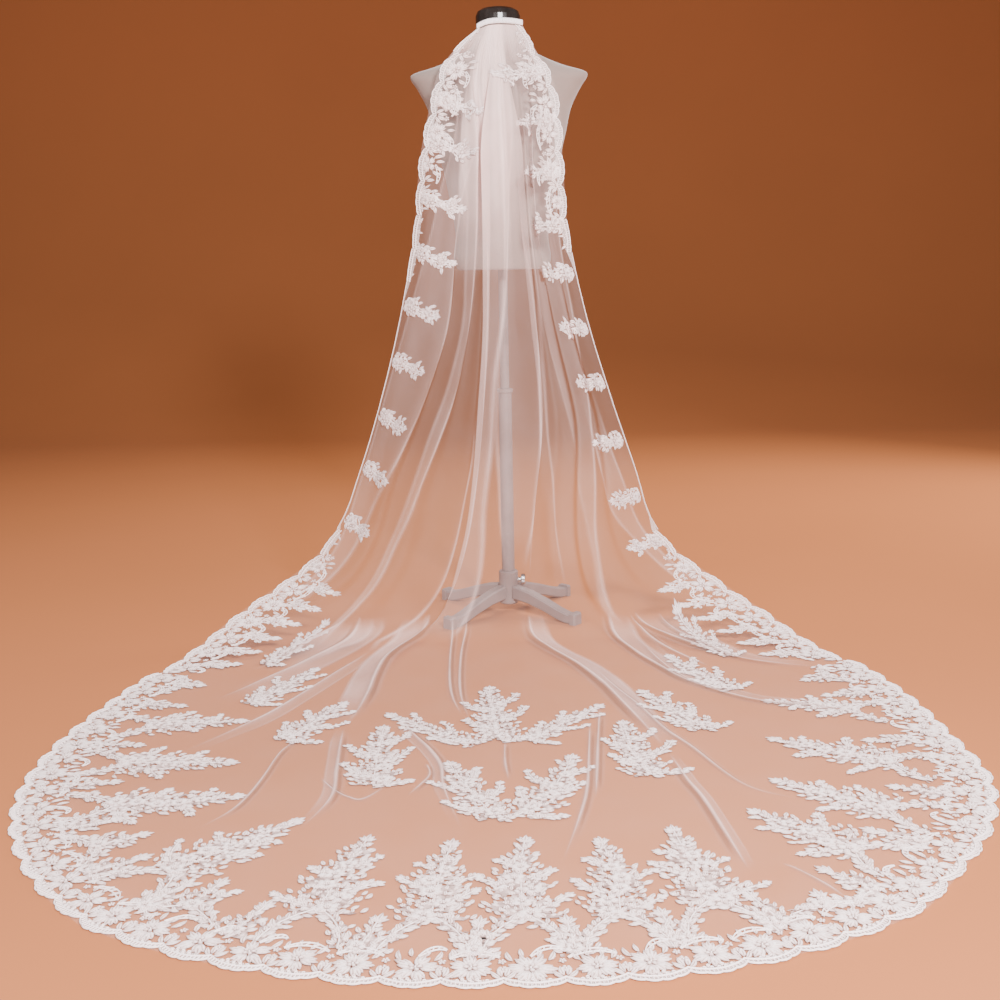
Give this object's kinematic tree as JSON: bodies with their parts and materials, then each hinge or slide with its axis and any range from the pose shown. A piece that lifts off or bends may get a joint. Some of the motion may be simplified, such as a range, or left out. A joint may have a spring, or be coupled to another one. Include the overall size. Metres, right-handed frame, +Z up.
{
  "type": "bridal veil on a dress form stand",
  "caption": "Long tulle wedding veil with a leafy scalloped lace edge and train, gathered at the neck of a limbless dress form on a four-legged pole stand.",
  "frame": {"origin": "middle of the bottom of the whole object's box, on the floor under the train", "axes": "+Z up, the train runs out towards -Y, +X is to the right when the back of the form is faced"},
  "size_m": [1.6494, 1.8934, 1.449],
  "materials": {
    "tulle": "soft matt silk tulle, slightly pink ivory, see-through where it is one layer",
    "lace": "corded Alencon-type lace, matt ground with satin-like raised flowers",
    "satin": "soft satin, gathered and stitched",
    "form_cloth": "beige jersey stretched over a padded form",
    "cap_lacquer": "dark brown gloss lacquer",
    "stand_paint": "pale grey semi-gloss paint",
    "knob_metal": "bright turned metal"
  },
  "bodies": {
    "veil_and_stand": {"applique_crown_left": "lace", "applique_crown_middle": "lace", "applique_crown_right": "lace", "applique_inner_left": "lace", "applique_inner_right": "lace", "applique_middle_left": "lace", "applique_middle_right": "lace", "applique_outer_left": "lace", "applique_outer_right": "lace", "applique_vee_left": "lace", "applique_vee_right": "lace", "form_neck_cap": "cap_lacquer", "form_torso": "form_cloth", "gathered_band": "satin", "lace_left_edge": "lace", "lace_right_edge": "lace", "lace_train_edge": "lace", "stand_foot_back_left": "stand_paint", "stand_foot_back_right": "stand_paint", "stand_foot_front_left": "stand_paint", "stand_foot_front_right": "stand_paint", "stand_hub": "stand_paint", "stand_leg_back_left": "stand_paint", "stand_leg_back_right": "stand_paint", "stand_leg_front_left": "stand_paint", "stand_leg_front_right": "stand_paint", "stand_ring": "stand_paint", "stand_sleeve": "stand_paint", "stand_upper_pole": "stand_paint", "tulle_fall": "tulle", "tulle_sweep": "tulle", "tulle_train": "tulle"},
    "clamp_knob": {"stand_clamp_knob": "knob_metal"}
  },
  "joints": [
    {"name": "clamp_knob_turn", "type": "hinge", "parent": "veil_and_stand", "child": "clamp_knob", "pos_m": [0.0623, 0.7842, 0.082], "axis": [1, 0, 0], "range_deg": [0, 270]}
  ]
}
